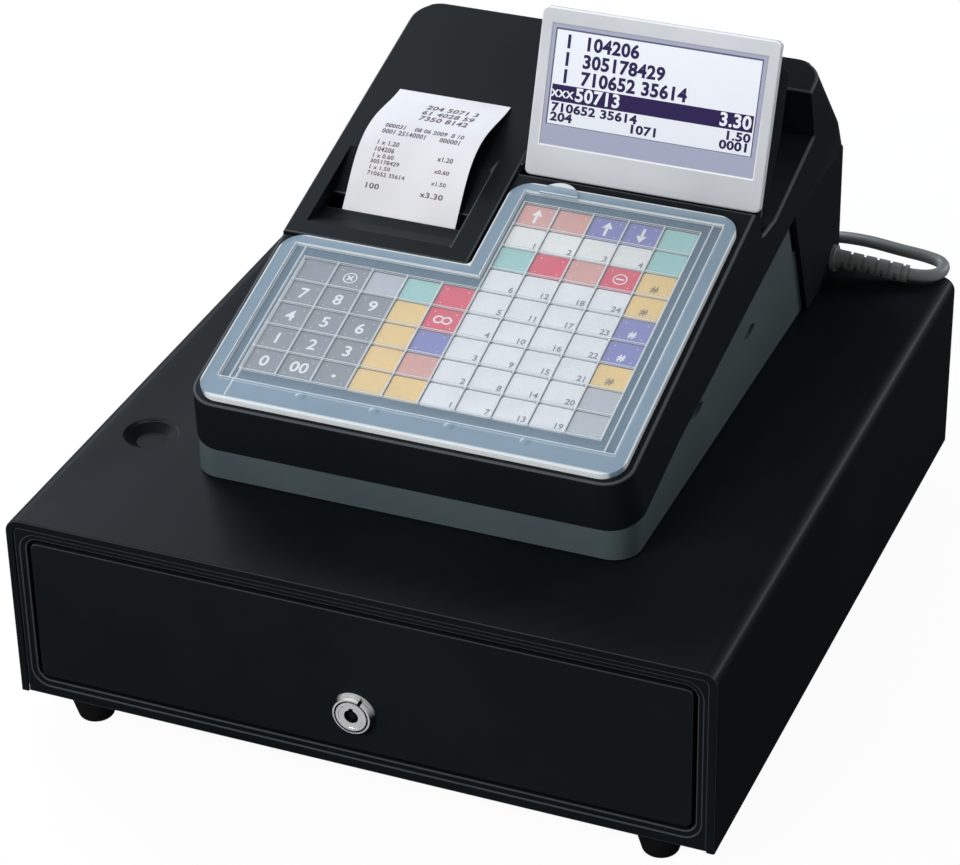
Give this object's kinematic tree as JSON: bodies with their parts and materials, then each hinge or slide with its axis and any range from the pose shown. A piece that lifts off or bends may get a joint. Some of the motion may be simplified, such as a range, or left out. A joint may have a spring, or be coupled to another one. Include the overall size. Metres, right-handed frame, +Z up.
{
  "type": "cash register",
  "caption": "Counter cash register: a sloped keyboard, receipt printer and tilting display on a wide steel cash drawer with a lock and a till tray.",
  "frame": {"origin": "on the surface that the feet stand on, under the middle of the cabinet", "axes": "+Z up, -Y towards the clerk, +X to the clerk's right"},
  "size_m": [0.335, 0.4867, 0.2724],
  "materials": {
    "cabinet_paint": "black satin powder paint on folded steel sheet",
    "drawer_paint": "black satin powder paint",
    "rubber": "moulded black rubber",
    "zinc": "zinc-plated steel",
    "roller_nylon": "natural acetal",
    "tray_plastic": "moulded black polystyrene",
    "clip_plastic": "moulded dark grey acetal",
    "lock_chrome": "bright chrome with a brushed face",
    "spring_steel": "spring steel",
    "solenoid_steel": "plated steel can",
    "case_black": "fine-textured black ABS",
    "case_grey": "fine-textured grey-green ABS",
    "silicone": "translucent bluish silicone",
    "key_print": "printed polyester sheet",
    "membrane": "foam and polyester membrane",
    "circuit_board": "green solder mask",
    "component_plastic": "moulded black packages",
    "paper": "thermal paper",
    "platen_rubber": "ground black rubber",
    "display_silver": "silver paint on plastic",
    "display_window": "clear tinted window",
    "lcd": "backlit liquid crystal panel",
    "cord_grey": "grey PVC"
  },
  "bodies": {
    "housing": {"board_components": "component_plastic", "cabinet_base": "cabinet_paint", "cabinet_cover": "cabinet_paint", "cord_coil": "cord_grey", "cord_lead": "cord_grey", "ejector_spring": "spring_steel", "front_frame": "cabinet_paint", "hinge_pins": "zinc", "key_sheet": "key_print", "keyboard_cover": "silicone", "keyboard_plate": "zinc", "latch_bracket": "zinc", "lower_case": "case_grey", "main_board": "circuit_board", "membrane_pad": "membrane", "motor": "solenoid_steel", "paper_bucket": "case_black", "paper_web": "paper", "plug": "cord_grey", "power_supply": "solenoid_steel", "printer_frame": "zinc", "rails": "zinc", "rear_housing": "case_black", "rubber_feet": "rubber", "screws": "zinc", "solenoid_body": "solenoid_steel", "strain_relief": "cord_grey", "thermal_head": "component_plastic", "upper_case": "case_black"},
    "drawer": {"drawer_front": "drawer_paint", "drawer_box": "drawer_paint", "runners": "zinc", "till_tray": "tray_plastic", "clip_rod": "zinc", "lock_body": "lock_chrome", "lock_nut": "zinc", "catch": "zinc"},
    "front_rollers": {"rollers_front": "roller_nylon"},
    "back_rollers": {"rollers_back": "roller_nylon"},
    "lock_cylinder": {"lock_plug": "lock_chrome", "lock_cam": "lock_chrome"},
    "hook": {"latch_hook": "spring_steel"},
    "plunger": {"solenoid_plunger": "spring_steel"},
    "paper_door": {"printer_cover": "case_black", "tear_bar": "zinc", "receipt_slip": "paper"},
    "display": {"display_bezel": "display_silver", "display_lens": "display_window", "lcd_panel": "lcd", "display_body": "case_black"},
    "roll": {"paper_roll": "paper", "roll_core": "roller_nylon"},
    "platen": {"platen_roller": "platen_rubber", "platen_shaft": "zinc"},
    "idler": {"idler_gear": "roller_nylon"},
    "motor_rotor": {"motor_pinion": "roller_nylon"},
    "clip_1": {"bill_clip_1": "clip_plastic"},
    "clip_2": {"bill_clip_2": "clip_plastic"},
    "clip_3": {"bill_clip_3": "clip_plastic"},
    "clip_4": {"bill_clip_4": "clip_plastic"}
  },
  "joints": [
    {"name": "drawer_slide", "type": "slide", "parent": "housing", "child": "drawer", "axis": [0, -1, 0], "range_m": [0, 0.25]},
    {"name": "front_rollers_turn", "type": "hinge", "parent": "housing", "child": "front_rollers", "pos_m": [0, -0.1554, 0.0605], "axis": [1, 0, 0], "continuous": true},
    {"name": "back_rollers_turn", "type": "hinge", "parent": "drawer", "child": "back_rollers", "pos_m": [0, 0.1362, 0.0605], "axis": [1, 0, 0], "continuous": true},
    {"name": "clip_1_lift", "type": "hinge", "parent": "drawer", "child": "clip_1", "pos_m": [-0.10643, 0.1259, 0.0772], "axis": [-1, 0, 0], "range_deg": [0, 66], "stiffness_Nm_per_rad": 0.02, "springref_deg": -34.38},
    {"name": "clip_2_lift", "type": "hinge", "parent": "drawer", "child": "clip_2", "pos_m": [-0.03547, 0.1259, 0.0772], "axis": [-1, 0, 0], "range_deg": [0, 66], "stiffness_Nm_per_rad": 0.02, "springref_deg": -34.38},
    {"name": "clip_3_lift", "type": "hinge", "parent": "drawer", "child": "clip_3", "pos_m": [0.03547, 0.1259, 0.0772], "axis": [-1, 0, 0], "range_deg": [0, 66], "stiffness_Nm_per_rad": 0.02, "springref_deg": -34.38},
    {"name": "clip_4_lift", "type": "hinge", "parent": "drawer", "child": "clip_4", "pos_m": [0.10643, 0.1259, 0.0772], "axis": [-1, 0, 0], "range_deg": [0, 66], "stiffness_Nm_per_rad": 0.02, "springref_deg": -34.38},
    {"name": "lock_turn", "type": "hinge", "parent": "drawer", "child": "lock_cylinder", "pos_m": [0, -0.1788, 0.046], "axis": [0, 1, 0], "range_deg": [0, 90]},
    {"name": "hook_swing", "type": "hinge", "parent": "housing", "child": "hook", "pos_m": [-0.0045, 0.17, 0.066], "axis": [0, 0, 1], "range_deg": [0, 16]},
    {"name": "plunger_pull", "type": "slide", "parent": "housing", "child": "plunger", "axis": [1, 0, 0], "range_m": [0, 0.0024]},
    {"name": "paper_door_lift", "type": "hinge", "parent": "housing", "child": "paper_door", "pos_m": [-0.055, 0.15691, 0.22127], "axis": [-1, 0, 0], "range_deg": [0, 85]},
    {"name": "display_tilt", "type": "hinge", "parent": "housing", "child": "display", "pos_m": [0.0478, 0.063, 0.1922], "axis": [-1, 0, 0], "range_deg": [0, 45]},
    {"name": "roll_turn", "type": "hinge", "parent": "housing", "child": "roll", "pos_m": [-0.06, 0.099, 0.1525], "axis": [1, 0, 0], "continuous": true},
    {"name": "platen_turn", "type": "hinge", "parent": "housing", "child": "platen", "pos_m": [-0.06, 0.0195, 0.166], "axis": [1, 0, 0], "continuous": true},
    {"name": "idler_turn", "type": "hinge", "parent": "housing", "child": "idler", "pos_m": [-0.0255, 0.03247, 0.14854], "axis": [1, 0, 0], "continuous": true},
    {"name": "motor_turn", "type": "hinge", "parent": "housing", "child": "motor_rotor", "pos_m": [-0.0255, 0.038, 0.1322], "axis": [1, 0, 0], "continuous": true}
  ],
  "couplings": [
    {"joint": "front_rollers_turn", "follows": "drawer_slide", "rad_per_m": 142.86},
    {"joint": "back_rollers_turn", "follows": "drawer_slide", "rad_per_m": 142.86},
    {"joint": "plunger_pull", "follows": "hook_swing", "m_per_rad": 0.008},
    {"joint": "platen_turn", "follows": "roll_turn", "ratio": 6.1667},
    {"joint": "idler_turn", "follows": "roll_turn", "ratio": -4.3529},
    {"joint": "motor_turn", "follows": "roll_turn", "ratio": 12.333}
  ]
}
